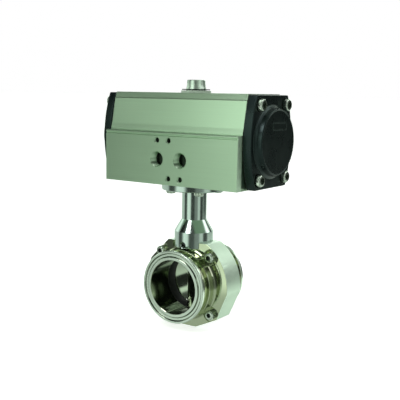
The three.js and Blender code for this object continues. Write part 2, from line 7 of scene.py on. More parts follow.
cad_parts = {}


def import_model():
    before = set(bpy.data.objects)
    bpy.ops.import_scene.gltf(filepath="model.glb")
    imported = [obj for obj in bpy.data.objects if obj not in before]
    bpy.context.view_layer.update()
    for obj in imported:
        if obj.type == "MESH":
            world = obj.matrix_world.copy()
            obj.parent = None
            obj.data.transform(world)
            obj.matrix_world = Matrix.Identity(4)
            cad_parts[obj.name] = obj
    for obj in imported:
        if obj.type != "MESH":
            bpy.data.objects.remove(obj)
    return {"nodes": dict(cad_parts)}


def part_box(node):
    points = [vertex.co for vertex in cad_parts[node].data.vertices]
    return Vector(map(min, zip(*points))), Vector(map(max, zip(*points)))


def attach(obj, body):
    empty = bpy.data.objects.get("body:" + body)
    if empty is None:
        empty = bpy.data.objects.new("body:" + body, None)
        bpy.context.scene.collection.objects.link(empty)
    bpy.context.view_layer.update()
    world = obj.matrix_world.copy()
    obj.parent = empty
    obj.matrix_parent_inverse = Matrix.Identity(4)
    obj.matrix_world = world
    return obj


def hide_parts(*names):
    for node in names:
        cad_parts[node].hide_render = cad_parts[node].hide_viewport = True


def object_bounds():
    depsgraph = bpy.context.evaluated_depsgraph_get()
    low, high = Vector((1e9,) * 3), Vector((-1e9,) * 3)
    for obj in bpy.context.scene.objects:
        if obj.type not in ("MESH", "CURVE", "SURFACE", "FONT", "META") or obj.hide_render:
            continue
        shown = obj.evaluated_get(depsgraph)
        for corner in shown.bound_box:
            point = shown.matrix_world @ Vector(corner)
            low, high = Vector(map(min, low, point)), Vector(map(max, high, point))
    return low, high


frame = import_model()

cad_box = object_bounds()
MM = 0.001
FULL = 2 * math.pi
SHARP = math.radians(32)
MERGE = 1e-7
NEARLY_STRAIGHT, NEARLY_BACK = math.radians(12), math.radians(170)
# The two axes that each axis is seen across.
ACROSS = {"X": (1, 2), "Y": (0, 2), "Z": (0, 1)}


def span(node):
    """Lowest and highest corner of a CAD node, in millimetres."""
    low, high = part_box(node)
    return low / MM, high / MM


def placed(node, axis):
    """Lowest and highest corner of a CAD node, and its centre seen along an axis."""
    low, high = span(node)
    a, b = ACROSS[axis]
    return low, high, ((low[a] + high[a]) / 2, (low[b] + high[b]) / 2)


def four(kind, axis):
    """What placed() says of the four CAD nodes of one kind of fastener."""
    return [placed(f"{kind}_{number}", axis) for number in range(1, 5)]


# ------------ sizes taken from the frame
HOUSING_LOW, HOUSING_HIGH = span("actuator_housing")
CAP_LOW, CAP_HIGH = span("end_cap_right")
YOKE_LOW, YOKE_HIGH = span("yoke")
BODY_LOW, BODY_HIGH = span("valve_body_rear")
FRONT_FACE = -span("valve_body_front")[0].y
SEAT_HIGH = span("seat_ring")[1]
DISC_LOW, DISC_HIGH = span("disc_and_stem")
PINION_LOW, PINION_HIGH = span("drive_pinion")
CYLINDER_Z = (CAP_LOW.z + CAP_HIGH.z) / 2


# ------------ mesh code
def place(axis, a, b, along):
    """A point of a flat shape at this distance along an axis."""
    if axis == "X":
        return (along * MM, a * MM, b * MM)
    if axis == "Y":
        return (a * MM, along * MM, b * MM)
    return (a * MM, b * MM, along * MM)


def put_in_scene(name, data):
    thing = bpy.data.objects.new(name, data)
    bpy.context.scene.collection.objects.link(thing)
    return thing


def make_object(name, vertices, faces):
    mesh = bpy.data.meshes.new(name)
    mesh.from_pydata(vertices, [], faces)
    work = bmesh.new()
    work.from_mesh(mesh)
    bmesh.ops.remove_doubles(work, verts=work.verts, dist=MERGE)
    bmesh.ops.recalc_face_normals(work, faces=work.faces)
    work.to_mesh(mesh)
    work.free()
    return put_in_scene(name, mesh)


def lathe(name, axis, profile, centre=(0, 0), segments=96, wave=None):
    """Turns (radius, along) points about an axis. wave(angle, along) adds to a radius."""
    closed = profile[0] == profile[-1]
    points = profile[:-1] if closed else profile
    vertices, rings = [], []
    for radius, along in points:
        count = segments if radius > 1e-6 else 1
        rings.append(range(len(vertices), len(vertices) + count))
        for i in range(count):
            turn = FULL * i / segments
            reach = radius + (wave(turn, along) if wave else 0)
            a = centre[0] + reach * math.cos(turn)
            b = centre[1] + reach * math.sin(turn)
            vertices.append(place(axis, a, b, along))
    faces = []
    pairs = list(zip(rings, rings[1:]))
    if closed:
        pairs.append((rings[-1], rings[0]))
    for low, high in pairs:
        for i in range(segments):
            j = (i + 1) % segments
            corners = [low[i % len(low)], low[j % len(low)], high[j % len(high)], high[i % len(high)]]
            faces.append(list(dict.fromkeys(corners)))
    return make_object(name, vertices, faces)


def rod(name, axis, radius, start, end, centre=(0, 0), segments=48):
    return lathe(name, axis, [(0, start), (radius, start), (radius, end), (0, end)], centre, segments)


def prism(name, axis, outline, start, end):
    count = len(outline)
    vertices = [place(axis, a, b, start) for a, b in outline]
    vertices += [place(axis, a, b, end) for a, b in outline]
    faces = [list(range(count))[::-1], list(range(count, 2 * count))]
    for i in range(count):
        j = (i + 1) % count
        faces.append([i, j, count + j, count + i])
    return make_object(name, vertices, faces)


def box_of(name, x, y, z):
    outline = [(x[0], y[0]), (x[1], y[0]), (x[1], y[1]), (x[0], y[1])]
    return prism(name, "Z", outline, *z)


def soften(points, radius, closed=False, steps=4):
    """Rounds each corner of a flat line with an arc of at most this radius."""
    result = []
    count = len(points)
    for i, (x, y) in enumerate(points):
        if not closed and i in (0, count - 1):
            result.append((x, y))
            continue
        here = Vector((x, y))
        before = Vector(points[i - 1]) - here
        after = Vector(points[(i + 1) % count]) - here
        turn = math.pi - before.angle(after)
        if not NEARLY_STRAIGHT <= turn <= NEARLY_BACK:
            result.append((x, y))
            continue
        reach = radius * math.tan(turn / 2)
        reach = min(reach, before.length * 0.45, after.length * 0.45)
        first = here + before.normalized() * reach
        last = here + after.normalized() * reach
        for k in range(steps + 1):
            t = k / steps
            point = first * (1 - t) ** 2 + here * 2 * t * (1 - t) + last * t * t
            result.append((point.x, point.y))
    return result


def softened_lathe(name, axis, profile, radius, centre=(0, 0), segments=96):
    if profile[0] == profile[-1]:
        ring = soften(profile[:-1], radius, closed=True)
        return lathe(name, axis, ring + [ring[0]], centre, segments)
    return lathe(name, axis, soften(profile, radius), centre, segments)


def bake(piece):
    """Applies a piece's modifiers to its mesh."""
    graph = bpy.context.evaluated_depsgraph_get()
    mesh = bpy.data.meshes.new_from_object(piece.evaluated_get(graph))
    piece.modifiers.clear()
    piece.data = mesh


def combine(piece, others, operation):
    for other in others:
        step = piece.modifiers.new("shape", "BOOLEAN")
        step.object = other
        step.operation = operation
        step.solver = "EXACT"
    bake(piece)
    for other in others:
        bpy.data.objects.remove(other)
    return piece


def cut(piece, *cutters):
    return combine(piece, cutters, "DIFFERENCE")


def join(piece, *others):
    return combine(piece, others, "UNION")


def bevel(piece, width, segments=2):
    step = piece.modifiers.new("bevel", "BEVEL")
    step.width = width * MM
    step.segments = segments
    step.limit_method = "ANGLE"
    step.angle_limit = SHARP
    step.miter_outer = "MITER_ARC"
    bake(piece)


def split(piece, at):
    """Divides the faces that cross the plane y = `at` mm, so that each side can be painted."""
    work = bmesh.new()
    work.from_mesh(piece.data)
    parts = work.verts[:] + work.edges[:] + work.faces[:]
    bmesh.ops.bisect_plane(work, geom=parts, plane_co=(0, at * MM, 0), plane_no=(0, 1, 0))
    work.to_mesh(piece.data)
    work.free()


def show(piece, body, slot, *nodes, material=None):
    """Shades a finished piece and hands it to the frame."""
    piece.data.shade_smooth()
    piece.data.set_sharp_from_angle(angle=SHARP)
    flats = piece.modifiers.new("flat_faces_stay_flat", "WEIGHTED_NORMAL")
    flats.keep_sharp = True
    bake(piece)
    piece.data.materials.clear()
    for each in material if isinstance(material, list) else [material]:
        piece.data.materials.append(each)
    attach(piece, body)
    if nodes:
        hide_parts(*nodes)


def paint(piece, index, chosen):
    """Gives another of a piece's materials to the faces that chosen(middle, normal) picks."""
    for face in piece.data.polygons:
        if chosen(face.center / MM, face.normal):
            face.material_index = index


# ------------ materials
NOISE_ROUGHNESS = 0.55


def mottled(tint, share):
    """Colour stops from a darker share of a tint to the tint itself."""
    return [(0.3, tuple(part * share for part in tint)), (0.7, tint)]


class Nodes:
    """A short way to write a material's node tree."""

    def __init__(self, name):
        self.material = bpy.data.materials.new(name)
        self.material.use_nodes = True
        self.tree = self.material.node_tree
        self.wire = self.tree.links.new
        self.shader = self.tree.nodes["Principled BSDF"]
        self.place = self.add("ShaderNodeTexCoord").outputs["Object"]

    def add(self, kind, **inputs):
        node = self.tree.nodes.new(kind)
        for key, value in inputs.items():
            name = key.replace("_", " ")
            if name in node.inputs:
                if isinstance(value, bpy.types.NodeSocket):
                    self.wire(value, node.inputs[name])
                else:
                    node.inputs[name].default_value = value
            else:
                setattr(node, key, value)
        return node

    def link(self, output, target):
        self.wire(output, self.shader.inputs[target])

    def noise(self, scale, detail=3.0, vector=None, stretch=(1, 1, 1)):
        mapping = self.add("ShaderNodeMapping", Scale=stretch)
        self.wire(vector or self.place, mapping.inputs["Vector"])
        texture = self.add("ShaderNodeTexNoise", Scale=scale, Detail=detail, Roughness=NOISE_ROUGHNESS)
        self.wire(mapping.outputs["Vector"], texture.inputs["Vector"])
        return texture.outputs["Fac"]

    def ramp(self, value, low, high, start=0.0, end=1.0):
        node = self.add("ShaderNodeMapRange")
        self.wire(value, node.inputs["Value"])
        limits = {"From Min": start, "From Max": end, "To Min": low, "To Max": high}
        for name, number in limits.items():
            node.inputs[name].default_value = number
        return node.outputs["Result"]

    def colours(self, value, stops):
        node = self.add("ShaderNodeValToRGB")
        self.wire(value, node.inputs["Fac"])
        while len(node.color_ramp.elements) < len(stops):
            node.color_ramp.elements.new(0.5)
        for element, (position, colour) in zip(node.color_ramp.elements, stops):
            element.position = position
            element.color = (*colour, 1)
        return node.outputs["Color"]

    def about(self, axis):
        """(radius, distance along) from a turning axis, for marks that run round it."""
        parts = self.add("ShaderNodeSeparateXYZ")
        self.wire(self.place, parts.inputs[0])
        flat = self.add("ShaderNodeCombineXYZ")
        for name in "XYZ":
            if name != axis:
                self.wire(parts.outputs[name], flat.inputs[name])
        length = self.add("ShaderNodeVectorMath", operation="LENGTH")
        self.wire(flat.outputs[0], length.inputs[0])
        both = self.add("ShaderNodeCombineXYZ")
        self.wire(length.outputs["Value"], both.inputs["X"])
        self.wire(parts.outputs[axis], both.inputs["Y"])
        return both.outputs[0]

    def bump(self, height, distance, strength, under=None):
        node = self.add("ShaderNodeBump", Strength=strength, Distance=distance)
        self.wire(height, node.inputs["Height"])
        if under is not None:
            self.wire(under, node.inputs["Normal"])
        return node.outputs["Normal"]

    def edge_highlight(self, width):
        """A factor: 0 on flats, 1 where the surface turns within this width, in metres."""
        rounded = self.add("ShaderNodeBevel", samples=6, Radius=width)
        match = self.add("ShaderNodeVectorMath", operation="DOT_PRODUCT")
        self.wire(rounded.outputs["Normal"], match.inputs[0])
        self.wire(self.add("ShaderNodeNewGeometry").outputs["Normal"], match.inputs[1])
        return self.ramp(match.outputs["Value"], 1.0, 0.0, 0.80, 0.99)

    def finish(self, colour, rough, height, depth, strength, under=None):
        self.link(colour, "Base Color")
        self.link(rough, "Roughness")
        self.link(self.bump(height, depth, strength, under), "Normal")
        return self.material

    def constant(self, **values):
        for key, value in values.items():
            self.shader.inputs[key.replace("_", " ")].default_value = value


def brushed_aluminium():
    """Anodised extrusion with its drawing lines along X."""
    n = Nodes("brushed_aluminium")
    n.constant(Metallic=1.0)
    cloud = n.noise(9.0, 2.0)
    streak = n.noise(1.0, 5.0, stretch=(14, 900, 900))
    tint = n.colours(cloud, [(0.3, (0.53, 0.72, 0.52)), (0.7, (0.59, 0.79, 0.58))])
    darker = n.add("ShaderNodeMix", data_type="RGBA", blend_type="MULTIPLY")
    darker.inputs["Factor"].default_value = 0.2
    n.wire(tint, darker.inputs["A"])
    n.wire(n.colours(streak, [(0.25, (0.80,) * 3), (0.75, (1.0,) * 3)]), darker.inputs["B"])
    fine = n.noise(1.0, 3.0, stretch=(90, 5200, 5200))
    broad = n.bump(streak, 0.000018, 0.5)
    rough = n.ramp(streak, 0.26, 0.36)
    return n.finish(darker.outputs["Result"], rough, fine, 0.00002, 0.7, broad)


def turned_steel(name, axis, tint=(0.62, 0.70, 0.63), rough=(0.07, 0.16), mark=0.000004):
    """Bright stainless steel with fine lathe marks round an axis."""
    n = Nodes(name)
    n.constant(Metallic=1.0)
    marks = n.noise(2600.0, 2.0, vector=n.about(axis))
    smear = n.noise(70.0, 3.0)
    colour = n.colours(smear, mottled(tint, 0.93))
    return n.finish(colour, n.ramp(smear, *rough), marks, mark, 0.5)


def brushed_steel(name, axis, tint=(0.85, 1.0, 0.86)):
    """Stainless steel with a coarser satin brushing round an axis."""
    n = Nodes(name)
    n.constant(Metallic=1.0)
    lines = n.noise(1500.0, 4.0, vector=n.about(axis))
    cloud = n.noise(45.0, 3.0)
    colour = n.colours(cloud, mottled(tint, 0.92))
    return n.finish(colour, n.ramp(lines, 0.40, 0.56), lines, 0.000012, 0.6)


def black_coat():
    """Satin black coating with a fine orange-peel skin, and a painted highlight: a lighter colour on
    its edges and in its grooves.
    """
    n = Nodes("black_coat")
    n.constant(Specular_IOR_Level=0.45, Specular_Tint=(0.72, 1.0, 1.0, 1.0))
    cloud = n.noise(60.0, 4.0)
    base = n.colours(cloud, [(0.3, (0.003, 0.007, 0.007)), (0.7, (0.006, 0.011, 0.011))])
    # Painted highlight: every edge, raised or hollow, is mixed towards a lighter colour.
    edge_glint = n.add("ShaderNodeMix", data_type="RGBA")
    n.wire(n.edge_highlight(0.0006), edge_glint.inputs["Factor"])
    n.wire(base, edge_glint.inputs["A"])
    edge_glint.inputs["B"].default_value = (0.11, 0.14, 0.13, 1)
    rough, peel = n.ramp(cloud, 0.22, 0.34), n.noise(1500.0, 2.0)
    return n.finish(edge_glint.outputs["Result"], rough, peel, 0.00004, 0.5)


def plain_metal(name, tint, rough, mark=0.00001):
    """A cast or plated metal with a fine grain."""
    n = Nodes(name)
    n.constant(Metallic=1.0)
    cloud = n.noise(220.0, 4.0)
    colour = n.colours(cloud, mottled(tint, 0.86))
    return n.finish(colour, n.ramp(cloud, *rough), n.noise(2400.0, 3.0), mark, 0.6)


def dull(name, tint, rough, mark=0.00002):
    """Rubber or polymer: a matte skin with a slight bloom."""
    n = Nodes(name)
    cloud = n.noise(130.0, 4.0)
    colour = n.colours(cloud, mottled(tint, 0.8))
    return n.finish(colour, n.ramp(cloud, *rough), n.noise(1900.0, 3.0), mark, 0.5)


ALUMINIUM = brushed_aluminium()
SAWN = plain_metal("sawn_aluminium", (0.80, 0.98, 0.80), (0.60, 0.75), 0.00002)
# Painted shade: a dark aluminium for the deeper walls and floors of the housing's tapped holes.
HOLE_SHADE_PAINT = plain_metal("hole_painted_shade_aluminium", (0.075, 0.10, 0.075), (0.40, 0.55))
BLACK = black_coat()
YOKE_STEEL = turned_steel("yoke_steel", "Z", (0.56, 0.66, 0.62), (0.10, 0.20), 0.000006)
BODY_STEEL = turned_steel("body_steel", "Y", tint=(0.58, 0.64, 0.46), rough=(0.05, 0.11))
BODY_BAND = brushed_steel("body_band", "Y")
# Painted shade: a darker steel for the bore and the gasket groove's walls, which are the same metal in
# shade.
BORE_SHADE_STEEL = turned_steel("bore_painted_shade_steel", "Y", tint=(0.31, 0.36, 0.28), rough=(0.10, 0.18))
RIM_STEEL = turned_steel("rim_steel", "Y", tint=(0.90, 1.0, 0.90), rough=(0.20, 0.30))
DISC_STEEL = turned_steel("disc_steel", "Z", tint=(0.50, 0.54, 0.42), rough=(0.06, 0.14), mark=0.000003)
PINION_STEEL = turned_steel("pinion_steel", "Z", tint=(0.66, 0.78, 0.68), rough=(0.28, 0.40))
SCREW_STEEL = plain_metal("screw_steel", (0.72, 0.80, 0.71), (0.14, 0.26))
# Painted shade: a dark metal for the inside of screw sockets, where little light reaches.
SOCKET_SHADE_PAINT = plain_metal("socket_painted_shade", (0.05, 0.06, 0.05), (0.35, 0.50))
DARK_STEEL = plain_metal("dark_steel", (0.06, 0.07, 0.065), (0.30, 0.45))
CAST = plain_metal("cast_aluminium", (0.55, 0.60, 0.56), (0.40, 0.55), 0.00003)
RUBBER = dull("black_rubber", (0.022, 0.025, 0.026), (0.50, 0.68))
POLYMER = dull("bearing_polymer", (0.66, 0.74, 0.66), (0.38, 0.52))


# ------------ fasteners
M4 = {"shank": 2.0, "socket": 2.0, "head": 3.5, "height": 4.0, "pitch": 0.7}
M5 = {"shank": 2.5, "socket": 4.0, "head": 4.25, "height": 5.0, "pitch": 0.8, "nut": 8.0}
M6 = {"shank": 3.0, "socket": 5.0, "head": 5.0, "height": 6.0, "pitch": 1.0}
THREAD_DEPTH = 0.55
SOCKET_SHARE = 0.52
SET_SOCKET_DEPTH = 2.2
KNURLS, KNURL_DEPTH = 36, 0.15
NUT_BORE, NUT_MOUTH = 2.65, 3.4
M5_HOLE = 2.8


def hexagon(across):
    reach = across / math.sqrt(3)
    return [(reach * math.cos(FULL * i / 6), reach * math.sin(FULL * i / 6)) for i in range(6)]


def shifted(outline, centre):
    return [(a + centre[0], b + centre[1]) for a, b in outline]


def hex_socket(axis, size, mouth, out, depth, centre):
    """A cutter for a hexagon socket whose drill point ends below its flats."""
    flats = shifted(hexagon(size["socket"]), centre)
    hole = prism("socket", axis, flats, mouth + out, mouth - out * depth)
    reach = size["socket"] / 2
    point = [(0, mouth + out), (reach, mouth + out), (reach, mouth - out * depth)]
    point.append((0, mouth - out * (depth + reach * 0.5)))
    return join(hole, lathe("point", axis, point, centre, 36))


def thread(size, start, end):
    """Profile points of a cut thread between two places along a shank."""
    crest, root = size["shank"], size["shank"] - THREAD_DEPTH * size["pitch"]
    turns = max(1, round(abs(end - start) / size["pitch"]))
    points = []
    for i in range(turns):
        points.append((crest, start + (end - start) * i / turns))
        points.append((root, start + (end - start) * (i + 0.5) / turns))
    points.append((crest, end))
    return points


def socket_screw(name, axis, size, seat, tip, centre):
    """A knurled socket-head screw. Its head sits on seat and its shank runs to tip."""
    out = math.copysign(1, seat - tip)
    top = seat + out * size["height"]
    radius, side = size["head"], size["head"] - KNURL_DEPTH
    head = [(0, seat - out * 0.4), (radius - 0.5, seat), (side, seat + out * 0.3)]
    head += [(side, top - out * 1.0), (radius - 0.35, top - out * 0.55)]
    head += [(radius - 0.9, top - out * 0.05), (radius - 1.3, top), (0, top)]

    def knurl(turn, along):
        inside = abs(along - seat) > 0.2 and abs(along - top) > 0.9
        return KNURL_DEPTH * math.cos(KNURLS * turn) if inside else 0

    piece = lathe(name, axis, head, centre, KNURLS * 4, knurl)
    plain_end = seat - out * 2
    shank = [(0, seat + out * 0.5), (size["shank"], seat + out * 0.5), (size["shank"], plain_end)]
    shank += thread(size, plain_end, tip + out * 0.6) + [(size["shank"] - 0.6, tip), (0, tip)]
    join(piece, lathe("shank", axis, shank, centre, 36))
    return cut(piece, hex_socket(axis, size, top, out, size["height"] * SOCKET_SHARE, centre))


def dressed_screw(node, axis, size, top, tip, centre):
    """Makes and shades a socket-head screw, with shade painted into its socket as a dark metal."""
    out = math.copysign(1, top - tip)
    seat_at = top - out * size["height"]
    piece = socket_screw(f"{node}_knurled", axis, size, seat_at, tip, centre)
    show(piece, ROOT, "bright_fastener", node, material=[SCREW_STEEL, SOCKET_SHADE_PAINT])
    a, b = ACROSS[axis]
    reach = size["socket"] / math.sqrt(3) - 0.1

    def in_socket(middle, normal):
        depth = (top - middle["XYZ".index(axis)]) * out
        inside = math.hypot(middle[a] - centre[0], middle[b] - centre[1]) < reach
        return inside and 0.7 < depth < size["height"] * 0.9

    # Paints shade into the socket: its walls and floor get the dark metal.
    paint(piece, 1, in_socket)


def cap_screws():
    """Four screws on each end cap, each in the place of its CAD node."""
    for side in ("left", "right"):
        for number in range(1, 5):
            node = f"cap_screw_{side}_{number}"
            low, high, centre = placed(node, "X")
            ends = (high.x, low.x) if side == "right" else (low.x, high.x)
            dressed_screw(node, "X", M6, *ends, centre)


def yoke_screws():
    for number in range(1, 5):
        node = f"yoke_screw_{number}"
        low, high, centre = placed(node, "Z")
        dressed_screw(node, "Z", M5, low.z, high.z, centre)


def body_bolts():
    """Bolts from the front, each with a nut at the back."""
    for number in range(1, 5):
        node = f"body_bolt_{number}"
        low, high, centre = placed(node, "Y")
        dressed_screw(node, "Y", M5, low.y, high.y, centre)
        node = f"body_nut_{number}"
        low, high = span(node)
        nut = prism(f"{node}_chamfered", "Y", shifted(hexagon(M5["nut"]), centre), low.y, high.y)
        reach = M5["nut"] / math.sqrt(3)
        dome = [(0, low.y), (reach - 0.5, low.y), (reach + 0.1, low.y + 0.4)]
        dome += [(reach + 0.1, high.y - 0.4), (reach - 0.5, high.y), (0, high.y)]
        combine(nut, [lathe("dome", "Y", dome, centre, 72)], "INTERSECT")
        bore = [(0, low.y - 1), (NUT_MOUTH, low.y - 1), (NUT_BORE, low.y + 0.5)]
        bore += [(NUT_BORE, high.y - 0.5), (NUT_MOUTH, high.y + 1), (0, high.y + 1)]
        cut(nut, lathe("bore", "Y", bore, centre, 36))
        show(nut, ROOT, "bright_fastener", node, material=SCREW_STEEL)


def set_screws():
    for side in ("front", "rear"):
        node = f"set_screw_{side}"
        low, high, centre = placed(node, "Y")
        mouth, tip = (low.y, high.y) if side == "front" else (high.y, low.y)
        out = math.copysign(1, mouth - tip)
        profile = [(0, mouth), (M4["shank"] - 0.5, mouth)]
        profile += thread(M4, mouth - out * 0.4, tip + out * 0.6)
        profile += [(M4["shank"] - 0.7, tip), (0, tip)]
        piece = lathe(f"{node}_threaded", "Y", profile, centre, 48)
        cut(piece, hex_socket("Y", M4, mouth, out, SET_SOCKET_DEPTH, centre))
        show(piece, ROOT, "blackened_steel", node, material=DARK_STEEL)


# ------------ actuator housing
ROOT = "valve_and_actuator"
DRIVE = "drive_train"
PAD_TOP = 134.3
PAD_BACK = -33.4
PORT_Z = 111.3
PORT_FLOOR = -29.0
PORT_RADIUS, PORT_MOUTH, PORT_PITCH = 5.9, 6.75, 1.34
TAPPED_RADIUS, TAPPED_MOUTH, TAPPED_DEPTH, TAPPED_PITCH = 2.1, 2.75, 9, 0.8
# How far into the holes the plain aluminium reaches before the painted shade starts, in mm.
PORT_BRIGHT, TAPPED_BRIGHT = 7.5, 2.0
DUCT_Y, DUCT_Z = -25.5, 104
CYLINDER_BORE, CYLINDER_MOUTH = 26, 27
LOWER_BUSH, UPPER_BUSH, SEAL_GROOVE, WASHER_RECESS = 13.4, 11.2, 13.2, 13.4
PORT_PLACES = [(-12, PORT_Z), (12, PORT_Z)]
PAD_SCREWS = [(-12, PORT_Z + 16), (0, PORT_Z + 16), (0, PORT_Z - 16), (12, PORT_Z - 16)]


def housing_outline():
    """The extruded section in (y, z): a sloping upper side, a ledge and the upright port pad."""
    top, foot, front = HOUSING_HIGH.z, HOUSING_LOW.z, HOUSING_LOW.y
    upper = [(25.6, top), (27.1, 162.4), (27.7, 161.6), (31.8, 140.4), (32.3, 138.9)]
    upper += [(33.15, 135.6), (33.2, PAD_TOP)]
    rear = [(33.2, 121.8), (25.6, foot)]
    pad = [(front + 0.6, PAD_TOP), (front, PAD_TOP - 0.8), (front, 132.6), (front + 0.7, 132.1)]
    pad += [(front + 0.7, 131.5), (front, 131.0), (front, foot)]
    section = pad + rear[::-1] + upper[::-1] + [(-y, z) for y, z in upper]
    return soften(section, 0.45, closed=True, steps=3)


def port_cutter(centre, radius, mouth, floor, pitch):
    """A tapped hole in the pad: a wide chamfer, thread turns and a flat floor."""
    face = HOUSING_LOW.y
    start = face + (mouth - radius)
    turns = int((floor - start) / pitch)
    points = [(0, face - 2), (mouth + 2, face - 2), (mouth, face)]
    for i in range(turns):
        points.append((radius, start + pitch * i))
        points.append((radius + 0.45 * pitch, start + pitch * (i + 0.5)))
    points += [(radius, floor), (0, floor + radius * 0.3)]
    return lathe("port", "Y", points, centre, 64)


def housing():
    half = HOUSING_HIGH.x
    piece = prism("actuator_housing_extrusion", "X", housing_outline(), -half, half)
    bore = [(0, -half - 1), (CYLINDER_MOUTH, -half - 1), (CYLINDER_BORE, -half + 0.8)]
    bore += [(CYLINDER_BORE, half - 0.8), (CYLINDER_MOUTH, half + 1), (0, half + 1)]
    cutters = [lathe("bore", "X", bore, (0, CYLINDER_Z), 128)]
    lower = [(0, 88), (LOWER_BUSH, 88), (LOWER_BUSH, 97.2), (11.8, 97.2), (11.8, 98.6)]
    lower += [(SEAL_GROOVE, 98.6), (SEAL_GROOVE, 101.2), (11.8, 101.2), (11.8, 110), (0, 110)]
    cutters.append(lathe("lower", "Z", lower, segments=64))
    recess = span("thrust_washer")[0].z
    upper = [(0, 148), (9.4, 148), (9.4, 156), (UPPER_BUSH, 156), (UPPER_BUSH, 158.4)]
    upper += [(9.4, 158.4), (9.4, 160), (UPPER_BUSH, 160), (UPPER_BUSH, recess)]
    upper += [(WASHER_RECESS, recess), (WASHER_RECESS, 170), (0, 170)]
    cutters.append(lathe("upper", "Z", upper, segments=64))
    for centre in PORT_PLACES:
        cutters.append(port_cutter(centre, PORT_RADIUS, PORT_MOUTH, PORT_FLOOR, PORT_PITCH))
    tapped_floor = HOUSING_LOW.y + TAPPED_DEPTH
    for centre in PAD_SCREWS:
        cutters.append(port_cutter(centre, TAPPED_RADIUS, TAPPED_MOUTH, tapped_floor, TAPPED_PITCH))
    cutters.append(rod("to_centre", "Y", 2.5, PORT_FLOOR - 1, -15, PORT_PLACES[0]))
    to_duct = (PORT_PLACES[1][0], PORT_Z - 4)
    cutters.append(rod("to_ends", "Y", 1.8, PORT_FLOOR - 1, DUCT_Y, to_duct))
    cutters.append(rod("duct", "X", 2.0, -half - 1, half + 1, (DUCT_Y, DUCT_Z)))
    for side in ("left", "right"):
        for _, _, centre in four(f"cap_screw_{side}", "X"):
            ends = (half - 17, half + 1) if side == "right" else (-half - 1, 17 - half)
            cutters.append(rod("cap_hole", "X", 3.3, *ends, centre, 32))
    for _, high, centre in four("yoke_screw", "Z"):
        cutters.append(rod("yoke_hole", "Z", M5_HOLE, 88, high.z + 1, centre, 32))
    cut(piece, *cutters)
    bevel(piece, 0.3)
    split(piece, PAD_BACK)
    finishes_and_painted_shade = [ALUMINIUM, HOLE_SHADE_PAINT, SAWN]
    show(piece, ROOT, "anodised_aluminium", "actuator_housing", material=finishes_and_painted_shade)
    holes = [(at, PORT_MOUTH + 0.25, HOUSING_LOW.y + PORT_BRIGHT) for at in PORT_PLACES]
    holes += [(at, TAPPED_MOUTH + 0.05, HOUSING_LOW.y + TAPPED_BRIGHT) for at in PAD_SCREWS]

    def deep(middle, normal):
        """The walls and floors of the tapped holes past their bright first turns, which get painted
        shade.
        """
        for (x, z), radius, start in holes:
            if math.hypot(middle.x - x, middle.z - z) < radius and start < middle.y < -15:
                return True
        return False

    def sawn(middle, normal):
        """The two ends of the port pad."""
        return abs(normal.x) > 0.9 and abs(middle.x) > half - 1 and middle.y < PAD_BACK

    paint(piece, 2, sawn)
    # Paints shade into the tapped holes' deeper walls and floors.
    paint(piece, 1, deep)


# ------------ end caps
CAP_PLATE = 76.2
CAP_CORNER = 25.7
BOSS_RADIUS = 27.2
POCKET_RADIUS, POCKET_END = 22, 72.5
SCREW_FLOOR, SCREW_HOLE, SCREW_SINK = 74.3, 3.3, 5.7
MARK_Y, MARK_Z = 2.0, CYLINDER_Z + 13.0
MARK_WIDE, MARK_TALL, MARK_GROOVE, MARK_DEPTH = 10.8, 2.4, 0.8, 0.6


def cap_outline(inset=0.0):
    """A barrel: flat top and foot, sides bulging in one arc each."""
    half_height = (CAP_HIGH.z - CAP_LOW.z) / 2
    half_width = CAP_HIGH.y
    bulge = half_width - CAP_CORNER
    radius = (half_height**2 + bulge**2) / (2 * bulge)
    sweep = math.asin(half_height / radius)
    points = []
    steps = 24
    for side in (1, -1):
        for i in range(steps + 1):
            turn = side * sweep * (2 * i / steps - 1)
            y = side * (half_width - radius * (1 - math.cos(turn)) - inset)
            points.append((y, CYLINDER_Z + (radius * math.sin(turn)) * (1 - inset / half_height)))
    return points


